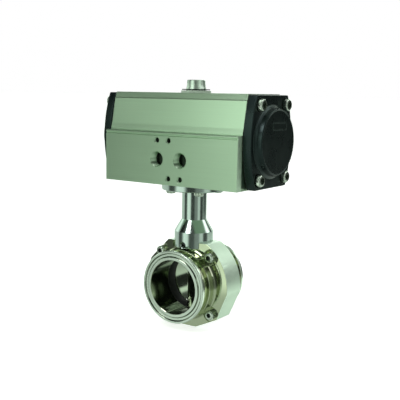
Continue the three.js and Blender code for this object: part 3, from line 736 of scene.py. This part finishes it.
def end_cap(side):
    """Drawn at +X and turned half round for the left end."""
    inner, boss_face = CAP_LOW.x, CAP_HIGH.x
    outline = soften(cap_outline(), 1.6, closed=True)
    plate = prism(f"end_cap_{side}_cast", "X", outline, inner, CAP_PLATE)
    bevel(plate, 0.7, 3)
    axis = (0, CYLINDER_Z)
    foot = [(3.4, -1), (3.0, 0.5), (2.1, 0.9), (0.9, 2.0), (0.3, 3.6)]
    boss = [(0, inner + 1), (20, inner + 1), (20, CAP_PLATE - 1)]
    boss += [(BOSS_RADIUS + out, CAP_PLATE + up) for out, up in foot]
    boss += [(BOSS_RADIUS, boss_face - 0.7), (BOSS_RADIUS - 0.5, boss_face)]
    boss += [(BOSS_RADIUS - 1.0, boss_face), (BOSS_RADIUS - 1.3, boss_face - 0.25)]
    boss.append((0, boss_face - 0.25))
    join(plate, lathe("boss", "X", soften(boss, 0.5), axis, 128))
    pocket = [(0, inner - 1), (POCKET_RADIUS, inner - 1), (POCKET_RADIUS, POCKET_END), (0, POCKET_END)]
    cutters = [softened_lathe("pocket", "X", pocket, 1, axis)]
    for _, _, centre in four("cap_screw_right", "X"):
        hole = [(0, 60), (SCREW_HOLE, 60), (SCREW_HOLE, SCREW_FLOOR), (SCREW_SINK, SCREW_FLOOR)]
        hole += [(SCREW_SINK, CAP_PLATE - 0.3), (SCREW_SINK + 0.9, CAP_PLATE + 0.6)]
        hole += [(SCREW_SINK + 0.9, 90), (0, 90)]
        cutters.append(lathe("screw_hole", "X", hole, centre, 48))
    wide, tall, groove = MARK_WIDE, MARK_TALL, MARK_GROOVE
    depth = (boss_face - MARK_DEPTH, boss_face + 1)
    for y0, y1, z0, z1 in (
        (-wide, wide, tall, tall + groove),
        (-wide, wide, -tall - groove, -tall),
        (-wide - groove, -wide, -tall - groove, tall + groove),
        (wide, wide + groove, -tall - groove, tall + groove),
    ):
        cutters.append(box_of("mark", depth, (MARK_Y + y0, MARK_Y + y1), (MARK_Z + z0, MARK_Z + z1)))
    cut(plate, *cutters)
    if side == "left":
        plate.data.transform(Matrix.Rotation(math.pi, 4, "Z"))
    show(plate, ROOT, "black_coated_cap", f"end_cap_{side}", material=BLACK)


# ------------ pinion, clip and washer
JOURNAL_LOW, SHANK, JOURNAL_HIGH = 11.5, 8.2, 9.0
CLIP_GROOVE_RADIUS, CLIP_GROOVE_LOW, CLIP_GROOVE_HIGH = 7.9, 169.4, 170.4
COUPLING_HALF, TOP_SLOT_HALF = 5.6, 2
CLIP_INNER, CLIP_OUTER, CLIP_SWELL, CLIP_EYE = 8.15, 11.0, 1.3, 1.8
WASHER_BORE = 9.4


def involute_outline(teeth=16, module=1.25, pressure=math.radians(20), backlash=0.2):
    pitch = teeth * module / 2
    base = pitch * math.cos(pressure)
    spread = lambda angle: math.tan(angle) - angle
    radii = [pitch - 1.3 * module, pitch * 0.97, pitch, pitch * 1.03, pitch + 0.9 * module]
    half = []
    for radius in radii:
        roll = math.acos(base / radius) if radius > base else 0
        half.append(math.pi / 2 / teeth - backlash / (2 * pitch) + spread(pressure) - spread(roll))
    points = []
    for tooth in range(teeth):
        middle = FULL * tooth / teeth
        points += [(r * math.cos(middle - h), r * math.sin(middle - h)) for r, h in zip(radii, half)]
        back = list(zip(radii, half))[::-1]
        points += [(r * math.cos(middle + h), r * math.sin(middle + h)) for r, h in back]
    return points


def turned_to_rest(piece):
    """The drive train's square parts are drawn square to the frame and rest half way between."""
    piece.data.transform(Matrix.Rotation(-FULL / 8, 4, "Z"))
    return piece


def pinion():
    foot, top = PINION_LOW.z, PINION_HIGH.z
    profile = [(0, foot), (JOURNAL_LOW - 0.3, foot), (JOURNAL_LOW, foot + 0.3), (JOURNAL_LOW, 103)]
    profile += [(SHANK, 104.5), (SHANK, 152), (JOURNAL_HIGH, 152.8), (JOURNAL_HIGH, CLIP_GROOVE_LOW)]
    profile += [(CLIP_GROOVE_RADIUS, CLIP_GROOVE_LOW), (CLIP_GROOVE_RADIUS, CLIP_GROOVE_HIGH)]
    profile += [(8.7, CLIP_GROOVE_HIGH), (8.6, 171.4)]
    profile += [(8.25, 172.1), (8.0, 174.4), (7.8, top - 0.5), (7.3, top), (0, top)]
    piece = lathe("drive_pinion_turned", "Z", profile, segments=96)
    teeth = prism("teeth", "Z", involute_outline(), CYLINDER_Z - 10, CYLINDER_Z + 10)
    join(piece, teeth)
    across = (-COUPLING_HALF, COUPLING_HALF)
    socket = box_of("socket", across, across, (88, 105))
    slot = box_of("slot", (-TOP_SLOT_HALF, TOP_SLOT_HALF), (-12, 12), (top - 3, top + 2))
    hole = [(0, top + 1), (3.6, top + 1), (2.5, top - 3.4), (2.5, top - 9), (0, top - 10)]
    cut(piece, socket, slot, lathe("hole", "Z", hole, segments=36))
    bevel(turned_to_rest(piece), 0.15)
    show(piece, DRIVE, "machined_steel", "drive_pinion", material=PINION_STEEL)


def clip():
    """A circlip: a ring that thickens away from its gap, with two eyes."""
    low, high = span("snap_ring")
    outer, inner = [], []
    steps, gap = 60, math.radians(16)
    for i in range(steps + 1):
        turn = math.pi / 2 + gap + (FULL - 2 * gap) * i / steps
        swell = 0.5 - 0.5 * math.cos(FULL * i / steps)
        reach = CLIP_OUTER + CLIP_SWELL * swell
        outer.append((reach * math.cos(turn), reach * math.sin(turn)))
        inner.append((CLIP_INNER * math.cos(turn), CLIP_INNER * math.sin(turn)))
    piece = prism("snap_ring_pressed", "Z", outer + inner[::-1], low.z, high.z)
    for side in (-1, 1):
        turn = math.pi / 2 + side * (gap + 0.12)
        middle = (10.5 * math.cos(turn), 10.5 * math.sin(turn))
        join(piece, rod("eye", "Z", CLIP_EYE, low.z, high.z, middle, 32))
        cut(piece, rod("eye_hole", "Z", 0.8, low.z - 1, high.z + 1, middle, 24))
    bevel(turned_to_rest(piece), 0.1, 1)
    show(piece, DRIVE, "blackened_steel", "snap_ring", material=DARK_STEEL)


def washer():
    low, high = span("thrust_washer")
    profile = [(WASHER_BORE, low.z), (high.x, low.z), (high.x, high.z), (WASHER_BORE, high.z)]
    profile.append(profile[0])
    piece = softened_lathe("thrust_washer_moulded", "Z", profile, 0.5, segments=96)
    show(piece, ROOT, "bearing_polymer", "thrust_washer", material=POLYMER)


# ------------ yoke
COLLAR, TUBE, YOKE_BORE = 17.2, 11.0, 8.6
CONE_BOTTOM, CONE_TOP = 46.1, 56.8
SLOT_HALF, SLOT_TOP = 11.2, 37.8
FLANGE_FOOT = 83


def yoke():
    foot, top = YOKE_LOW.z, YOKE_HIGH.z
    flange = YOKE_HIGH.x
    profile = [(YOKE_BORE, foot), (COLLAR - 0.5, foot), (COLLAR, foot + 0.5)]
    profile += [(COLLAR, CONE_BOTTOM), (TUBE, CONE_TOP), (TUBE, 81.2), (TUBE + 0.5, 82.3)]
    profile += [(TUBE + 1.7, FLANGE_FOOT), (flange - 0.6, FLANGE_FOOT), (flange, 83.6)]
    profile += [(flange, top - 0.6), (flange - 0.6, top), (YOKE_BORE, top), (YOKE_BORE, foot)]
    piece = softened_lathe("yoke_turned", "Z", profile, 0.25, segments=160)
    slot = [(-SLOT_HALF, foot - 5), (SLOT_HALF, foot - 5)]
    slot += [(SLOT_HALF, SLOT_TOP), (-SLOT_HALF, SLOT_TOP)]
    cutters = [prism("slot", "X", soften(slot, 1.2, closed=True), -20, 20)]
    set_z = placed("set_screw_front", "Y")[2][1]
    mouth = [(0, -20), (3.2, -20), (3.2, -COLLAR + 0.35), (2.15, -COLLAR + 1.4), (2.15, 0), (0, 0)]
    for outline in (mouth, [(r, -y) for r, y in mouth]):
        cutters.append(lathe("set_hole", "Y", outline, (0, set_z), 36))
    for low, _, centre in four("yoke_screw", "Z"):
        floor_z = low.z + M5["height"]
        hole = [(0, 78), (4.9, 78), (4.9, FLANGE_FOOT + 0.1), (4.55, FLANGE_FOOT + 0.5)]
        hole += [(4.55, floor_z), (M5_HOLE, floor_z), (M5_HOLE, 95), (0, 95)]
        cutters.append(lathe("screw_hole", "Z", hole, centre, 48))
    cut(piece, *cutters)
    bevel(piece, 0.18)
    show(piece, ROOT, "turned_stainless", "yoke", material=YOKE_STEEL)


# ------------ valve body
BODY_RADIUS = BODY_HIGH.x
HALF_THICK = 11.0
FACE_TOP = 12.2
HUB_RADIUS = 31.3
HUB_FACE = 20.0
NECK_RADIUS = 26.6
BORE_RADIUS = 23.75
RIM_RADIUS, RIM_THICK = 32, 2.9
GROOVE_RADIUS = 28.2
SEAT_POCKET_RADIUS, SEAT_POCKET_HALF = 28.3, 5.8
SPOTFACE_RADIUS = 7.5
CHANNEL_RADIUS = 6.9
SEAT_RADIUS = 23.4
DISC_RADIUS, STEM_RADIUS, SQUARE_HALF = 23.1, 5, 3.5
DISC_EDGE, DISC_EDGE_SHARE = 0.955, 0.045


def body_outline():
    """The round plate seen along the pipe, with its flat top, foot and trimmed corners."""
    cuts = [(90, BODY_HIGH.z), (-90, -BODY_LOW.z), (135, 40.4)]
    cuts += [(-23, 41.0), (-157, 41.0), (-65, 39.3), (-115, 39.3)]
    points = []
    steps = 360
    for i in range(steps):
        turn = FULL * i / steps
        reach = BODY_RADIUS
        for angle, distance in cuts:
            lean = math.cos(turn - math.radians(angle))
            if lean > 0.2:
                reach = min(reach, distance / lean)
        points.append((reach * math.cos(turn), reach * math.sin(turn)))
    return points


def body_half(side):
    """Front half for side -1, rear half for side 1."""
    name = "front" if side < 0 else "rear"
    along = lambda profile: [(radius, side * y) for radius, y in profile]
    plate = prism(f"valve_body_{name}_machined", "Y", body_outline(), 0, side * FACE_TOP)
    cone = [(0, -1), (50, -1), (50, HALF_THICK - 0.9), (BODY_RADIUS - 0.15, HALF_THICK - 0.1)]
    cone += [(BODY_RADIUS - 0.6, HALF_THICK + 0.1), (HUB_RADIUS + 2, FACE_TOP), (0, FACE_TOP)]
    combine(plate, [lathe("cone", "Y", along(cone), segments=180)], "INTERSECT")
    rim = FRONT_FACE if side < 0 else BODY_HIGH.y
    back = rim - RIM_THICK
    groove = GROOVE_RADIUS
    foot = [(1.5, -0.1), (0.5, 0.6), (0, 1.8)]
    hub = [(0, 4), (HUB_RADIUS + 2.6, 4), (HUB_RADIUS + 2.6, 11.2)]
    hub += [(HUB_RADIUS + out, FACE_TOP + up) for out, up in foot]
    hub += [(HUB_RADIUS, HUB_FACE - 0.5), (HUB_RADIUS - 0.5, HUB_FACE)]
    hub += [(NECK_RADIUS + 1.4, HUB_FACE), (NECK_RADIUS + 0.4, HUB_FACE + 0.4)]
    hub += [(NECK_RADIUS, HUB_FACE + 1.4), (NECK_RADIUS, back - 1.9), (NECK_RADIUS + 0.6, back - 1.3)]
    hub += [(RIM_RADIUS - 0.7, back - 0.15), (RIM_RADIUS, back + 0.4), (RIM_RADIUS, rim - 0.5)]
    hub.append((RIM_RADIUS - 0.5, rim))
    walls = [(2.0, 0), (1.5, 0.35), (0.9, 1.2), (-0.9, 1.2), (-1.5, 0.35), (-2.0, 0)]
    hub += [(groove + out, rim - deep) for out, deep in walls] + [(0, rim)]
    join(plate, lathe("hub", "Y", along(soften(hub, 0.35)), segments=180))
    pocket = [(0, -2), (SEAT_POCKET_RADIUS, -2), (SEAT_POCKET_RADIUS, SEAT_POCKET_HALF)]
    pocket += [(BORE_RADIUS, SEAT_POCKET_HALF), (BORE_RADIUS, rim - 0.3)]
    pocket += [(BORE_RADIUS + 0.6, rim + 0.3), (0, rim + 1)]
    milled = (side * HALF_THICK, side * 17.7)
    cutters = [
        lathe("bore", "Y", along(pocket), segments=180),
        rod("upper_channel", "Z", CHANNEL_RADIUS, 20, 45),
        rod("lower_channel", "Z", CHANNEL_RADIUS, DISC_LOW.z - 0.6, -20),
        box_of("milled", (-13.8, 13.8), (min(milled), max(milled)), (31.7, 45)),
    ]
    for low, _, centre in four("body_bolt", "Y"):
        cutters.append(rod("bolt_hole", "Y", M5_HOLE, -20, 20, centre, 32))
        floor_y = -low.y - M5["height"]
        spot = [(0, floor_y), (SPOTFACE_RADIUS - 0.3, floor_y), (SPOTFACE_RADIUS, floor_y + 0.3)]
        spot += [(SPOTFACE_RADIUS, HUB_FACE + 1), (0, HUB_FACE + 1)]
        cutters.append(lathe("spotface", "Y", along(spot), centre, 64))
    cut(plate, *cutters)
    bevel(plate, 0.2)
    finishes_and_painted_shade = [BODY_STEEL, BODY_BAND, BORE_SHADE_STEEL, RIM_STEEL]
    show(plate, ROOT, "polished_stainless", f"valve_body_{name}", material=finishes_and_painted_shade)

    def on_edge(middle, normal):
        """The brushed band round the plate."""
        reach = math.hypot(middle.x, middle.z)
        outward = (middle.x * normal.x + middle.z * normal.z) / reach
        return abs(middle.y) < HALF_THICK and outward > 0.6 and reach > -BODY_LOW.z - 2

    def on_rim(middle, normal):
        outside = math.hypot(middle.x, middle.z) > BORE_RADIUS + 0.2
        return outside and abs(middle.y) > rim - RIM_THICK - 0.3

    def in_bore(middle, normal):
        return math.hypot(middle.x, middle.z) < BORE_RADIUS + 0.1

    def in_groove(middle, normal):
        """The two sloped walls of the gasket groove, which get painted shade."""
        from_groove = abs(math.hypot(middle.x, middle.z) - groove)
        return 0.85 < from_groove < 1.75 and rim - 1.3 < abs(middle.y) < rim - 0.05

    paint(plate, 1, on_edge)
    paint(plate, 3, on_rim)
    # The groove walls and the bore get the darker steel: painted shade.
    paint(plate, 2, in_groove)
    paint(plate, 2, in_bore)


def seat():
    inner, outer, half = SEAT_RADIUS, SEAT_HIGH.x, SEAT_HIGH.y
    profile = [(inner + 0.9, -half), (outer, -half), (outer, half), (inner + 0.9, half)]
    profile += [(inner + 0.25, half - 0.7), (inner + 0.3, half - 1.6), (inner, half - 3.2)]
    profile += [(inner, 3.2 - half), (inner + 0.3, 1.6 - half), (inner + 0.25, 0.7 - half)]
    profile.append(profile[0])
    piece = softened_lathe("seat_ring_moulded", "Y", profile, 0.3, segments=180)
    cut(piece, rod("stem_hole", "Z", 5.35, -40, 40))
    show(piece, ROOT, "black_rubber", "seat_ring", material=RUBBER)


def disc_half_thickness(x, z):
    """Half the disc's thickness at a point of its face: a lens swelling smoothly round the stem."""
    reach = math.hypot(x, z) / DISC_RADIUS
    lens = 1.3 + 2.6 * (1 - min(1, reach) ** 2)
    stem = math.sqrt(max(0.0, STEM_RADIUS**2 - x * x)) * 0.94
    blend = 1.4
    mix = max(0.0, min(1.0, 0.5 + 0.5 * (stem - lens) / blend))
    smooth = lens * (1 - mix) + stem * mix + blend * mix * (1 - mix) * 0.5
    if reach <= DISC_EDGE:
        return smooth
    edge = (reach - DISC_EDGE) / DISC_EDGE_SHARE
    return smooth * math.sqrt(max(0.0, 1 - 0.75 * edge**2))


def disc_and_stem():
    """Drawn shut, square to the pipe, and turned to its rest place."""
    rings, sectors = 40, 144
    vertices, faces = [], []
    for side in (-1, 1):
        vertices.append((0, side * disc_half_thickness(0, 0) * MM, 0))
        for i in range(1, rings + 1):
            reach = DISC_RADIUS * math.sin(math.pi / 2 * i / rings)
            for j in range(sectors):
                turn = FULL * j / sectors
                x, z = reach * math.cos(turn), reach * math.sin(turn)
                vertices.append((x * MM, side * disc_half_thickness(x, z) * MM, z * MM))
    count = 1 + rings * sectors
    for base in (0, count):
        for j in range(sectors):
            k = (j + 1) % sectors
            faces.append([base, base + 1 + j, base + 1 + k])
            for i in range(rings - 1):
                low = base + 1 + i * sectors
                faces.append([low + j, low + k, low + sectors + k, low + sectors + j])
    rim = 1 + (rings - 1) * sectors
    for j in range(sectors):
        k = (j + 1) % sectors
        faces.append([rim + j, rim + k, count + rim + k, count + rim + j])
    piece = make_object("disc_and_stem_forged", vertices, faces)
    foot, top = DISC_LOW.z, DISC_HIGH.z
    upper = [(0, 15), (STEM_RADIUS, 15), (STEM_RADIUS, 39.5), (STEM_RADIUS - 0.5, 40), (0, 40)]
    lower = [(0, -15), (STEM_RADIUS, -15), (STEM_RADIUS, foot + 0.5)]
    lower += [(STEM_RADIUS - 0.5, foot), (0, foot)]
    join(piece, lathe("upper", "Z", upper, segments=64), lathe("lower", "Z", lower, segments=64))
    across = (-SQUARE_HALF, SQUARE_HALF)
    join(piece, box_of("square", across, across, (38, top)))
    show(turned_to_rest(piece), DRIVE, "polished_stainless", "disc_and_stem", material=DISC_STEEL)


# ------------ inner pieces keep their CAD shape
def dress_inner_nodes():
    looks = {"stem_coupling": PINION_STEEL}
    for side in ("left", "right"):
        looks[f"piston_{side}"] = CAST
        looks[f"cap_gasket_{side}"] = RUBBER
        looks[f"piston_seal_{side}"] = RUBBER
        looks[f"piston_band_{side}"] = POLYMER
        looks[f"rack_guide_{side}"] = POLYMER
    for level in ("lower", "upper"):
        looks[f"{level}_pinion_seal"] = RUBBER
        looks[f"{level}_pinion_bush"] = POLYMER
        looks[f"{level}_stem_bush"] = POLYMER
    for node, look in looks.items():
        mesh = frame["nodes"][node].data
        mesh.materials.clear()
        mesh.materials.append(look)


# ------------ studio
# Brightness of the room round the object: (degrees from the front towards +X, level).
ROOM = [(-180, 0.70), (-150, 0.70), (-104, 0.60), (-72, 0.55), (-60, 0.05), (-41, 0.08), (-26, 0.95)]
ROOM += [(-6, 0.90), (10, 0.05), (32, 0.05), (44, 0.22), (62, 0.25), (74, 0.62), (86, 0.62), (96, 0.06)]
ROOM += [(114, 0.06), (132, 0.50), (160, 0.55), (180, 0.70)]
# How much of it is left at each height: (degrees above the horizon, share).
ROOM_HEIGHTS = [(-90, 0.5), (-14, 0.85), (0, 0.74), (21, 1.67), (30, 0.05), (46, 0.16), (90, 0.7)]
# The rear right is darker at eye level: (degrees above the horizon, level).
REAR_HEIGHTS = [(-90, 0.35), (-40, 0.55), (-13, 0.85), (-9, 0.03), (20, 0.03), (24, 1.1), (30, 1.1)]
REAR_HEIGHTS += [(34, 0.06), (40, 0.08), (46, 0.90), (90, 0.60)]
REAR_SPAN = [(-180, 0), (118, 0), (134, 1), (169, 1), (178, 0), (180, 0)]
# Low down and high up the panels fade into plain walls: (degrees above the horizon, share).
PLAIN_SHARE = [(-90, 1), (-19, 1), (-12, 0), (40, 0), (52, 1), (90, 1)]
PLAIN_LEVEL = 0.45
ROOM_TINT = (0.87, 1.0, 0.87)
ROOM_LEVEL = 1.50
FLOOR_HALF_M, FLOOR_GAP_M = 30.0, 0.0005
LIGHT_AIM = (0, 0, 0.07)
# Where each light stands and how large it is, in metres, and its power in watts.
LIGHTS = {
    "key": ((-0.15, -0.80, 1.00), (0.42, 0.42), 3.0),
    "right": ((1.1, 0.5, 0.9), (1.4, 1.0), 4.0),
    "rear": ((-0.6, 1.2, 1.0), (0.9, 0.6), 3.0),
}
CAMERA_PLACE = (0.370451, -0.535328, 0.168169)
CAMERA_YAW, CAMERA_PITCH, CAMERA_ROLL = 34.246, 8.298, 1.002
SENSOR_WIDTH, LENS = 36.0, 66.84


def ramp_of(tree, value, low, high, stops, tint=(1, 1, 1)):
    """A colour ramp over value, from (place, level) stops between low and high."""
    limits = tree.nodes.new("ShaderNodeMapRange")
    limits.inputs["From Min"].default_value = low
    limits.inputs["From Max"].default_value = high
    tree.links.new(value, limits.inputs["Value"])
    ramp = tree.nodes.new("ShaderNodeValToRGB")
    ramp.color_ramp.interpolation = "EASE"
    elements = ramp.color_ramp.elements
    while len(elements) < len(stops):
        elements.new(0.5)
    for element, (degrees, level) in zip(elements, stops):
        element.position = (math.radians(degrees) - low) / (high - low)
        element.color = (*(level * part for part in tint), 1)
    tree.links.new(limits.outputs[0], ramp.inputs["Fac"])
    return ramp.outputs["Color"]


def mixed(tree, blend, factor, first, second):
    """Blends two colours, each a socket or a plain colour."""
    node = tree.nodes.new("ShaderNodeMix")
    node.data_type = "RGBA"
    node.blend_type = blend
    for name, value in (("Factor", factor), ("A", first), ("B", second)):
        if isinstance(value, bpy.types.NodeSocket):
            tree.links.new(value, node.inputs[name])
        else:
            node.inputs[name].default_value = value if name == "Factor" else (*value, 1)
    return node.outputs["Result"]


def world():
    """A room of bright and dark panels for the metal to reflect; the camera itself sees white."""
    studio_world = bpy.data.worlds.new("studio")
    bpy.context.scene.world = studio_world
    studio_world.use_nodes = True
    tree = studio_world.node_tree
    tree.nodes.clear()
    new, link = tree.nodes.new, tree.links.new
    half_turn, quarter_turn = math.pi, math.pi / 2
    parts = new("ShaderNodeSeparateXYZ")
    link(new("ShaderNodeTexCoord").outputs["Generated"], parts.inputs[0])
    front = new("ShaderNodeMath")
    front.operation = "MULTIPLY"
    front.inputs[1].default_value = -1.0
    link(parts.outputs["Y"], front.inputs[0])
    turn = new("ShaderNodeMath")
    turn.operation = "ARCTAN2"
    link(parts.outputs["X"], turn.inputs[0])
    link(front.outputs[0], turn.inputs[1])
    lift = new("ShaderNodeMath")
    lift.operation = "ARCSINE"
    link(parts.outputs["Z"], lift.inputs[0])
    all_round = (turn.outputs[0], -half_turn, half_turn)
    up_and_down = (lift.outputs[0], -quarter_turn, quarter_turn)
    half_heights = [(degrees, share / 2) for degrees, share in ROOM_HEIGHTS]
    half_tint = tuple(part / 2 for part in ROOM_TINT)
    panels = ramp_of(tree, *all_round, ROOM, ROOM_TINT)
    heights = ramp_of(tree, *up_and_down, half_heights)
    away = ramp_of(tree, *up_and_down, PLAIN_SHARE)
    plain = tuple(PLAIN_LEVEL * part for part in ROOM_TINT)
    walls = mixed(tree, "MIX", away, panels, plain)
    shaded = mixed(tree, "MULTIPLY", 1.0, walls, heights)
    rear = ramp_of(tree, *up_and_down, REAR_HEIGHTS, half_tint)
    behind = ramp_of(tree, *all_round, REAR_SPAN)
    room = new("ShaderNodeBackground")
    room.inputs["Strength"].default_value = 2.0 * ROOM_LEVEL
    link(mixed(tree, "MIX", behind, shaded, rear), room.inputs["Color"])
    white = new("ShaderNodeBackground")
    white.inputs["Color"].default_value = (1, 1, 1, 1)
    rays = new("ShaderNodeLightPath")
    seen = new("ShaderNodeMixShader")
    link(rays.outputs["Is Camera Ray"], seen.inputs[0])
    link(room.outputs[0], seen.inputs[1])
    link(white.outputs[0], seen.inputs[2])
    link(seen.outputs[0], new("ShaderNodeOutputWorld").inputs["Surface"])


def floor():
    """A wide pale floor just under the object, which neither lights it nor shows in its metal."""
    mesh = bpy.data.meshes.new("floor")
    corners = [(-FLOOR_HALF_M, -FLOOR_HALF_M), (FLOOR_HALF_M, -FLOOR_HALF_M)]
    corners += [(FLOOR_HALF_M, FLOOR_HALF_M), (-FLOOR_HALF_M, FLOOR_HALF_M)]
    level = cad_box[0].z - FLOOR_GAP_M
    mesh.from_pydata([(x, y, level) for x, y in corners], [], [(0, 1, 2, 3)])
    plane = put_in_scene("floor", mesh)
    plane.visible_glossy = False
    plane.visible_diffuse = False
    n = Nodes("pale_floor")
    shades = [(0.3, (0.92,) * 3), (0.7, (0.95,) * 3)]
    n.link(n.colours(n.noise(40.0, 3.0), shades), "Base Color")
    n.constant(Roughness=0.9, Emission_Color=(1, 1, 1, 1), Emission_Strength=0.7)
    mesh.materials.append(n.material)


def area_light(name, place_at, size, power):
    light = bpy.data.lights.new(name, "AREA")
    light.shape = "RECTANGLE"
    light.size, light.size_y = size
    light.energy = power
    lamp = put_in_scene(name, light)
    lamp.location = place_at
    lamp.rotation_euler = (Vector(LIGHT_AIM) - Vector(place_at)).to_track_quat("-Z", "Y").to_euler()


def camera():
    """Stands to the right of the pipe's front end, a little above the actuator's middle."""
    yaw, pitch, roll = (math.radians(turn) for turn in (CAMERA_YAW, CAMERA_PITCH, CAMERA_ROLL))
    level = math.cos(pitch)
    forward = Vector((-math.sin(yaw) * level, math.cos(yaw) * level, -math.sin(pitch)))
    right = Vector((math.cos(yaw), math.sin(yaw), 0))
    up = right.cross(forward)
    leaned_right = right * math.cos(roll) + up * math.sin(roll)
    leaned_up = up * math.cos(roll) - right * math.sin(roll)
    data = bpy.data.cameras.new("camera")
    data.sensor_width = SENSOR_WIDTH
    data.lens = LENS
    eye = put_in_scene("camera", data)
    turn = Matrix((leaned_right, leaned_up, -forward)).transposed().to_4x4()
    eye.matrix_world = Matrix.Translation(CAMERA_PLACE) @ turn
    bpy.context.scene.camera = eye


def studio():
    world()
    floor()
    for name, (place_at, size, power) in LIGHTS.items():
        area_light(name, place_at, size, power)
    bpy.context.scene.view_settings.view_transform = "Standard"
    camera()


housing()
end_cap("left")
end_cap("right")
cap_screws()
pinion()
clip()
washer()
yoke()
yoke_screws()
set_screws()
body_half(-1)
body_half(1)
body_bolts()
seat()
disc_and_stem()
dress_inner_nodes()
studio()
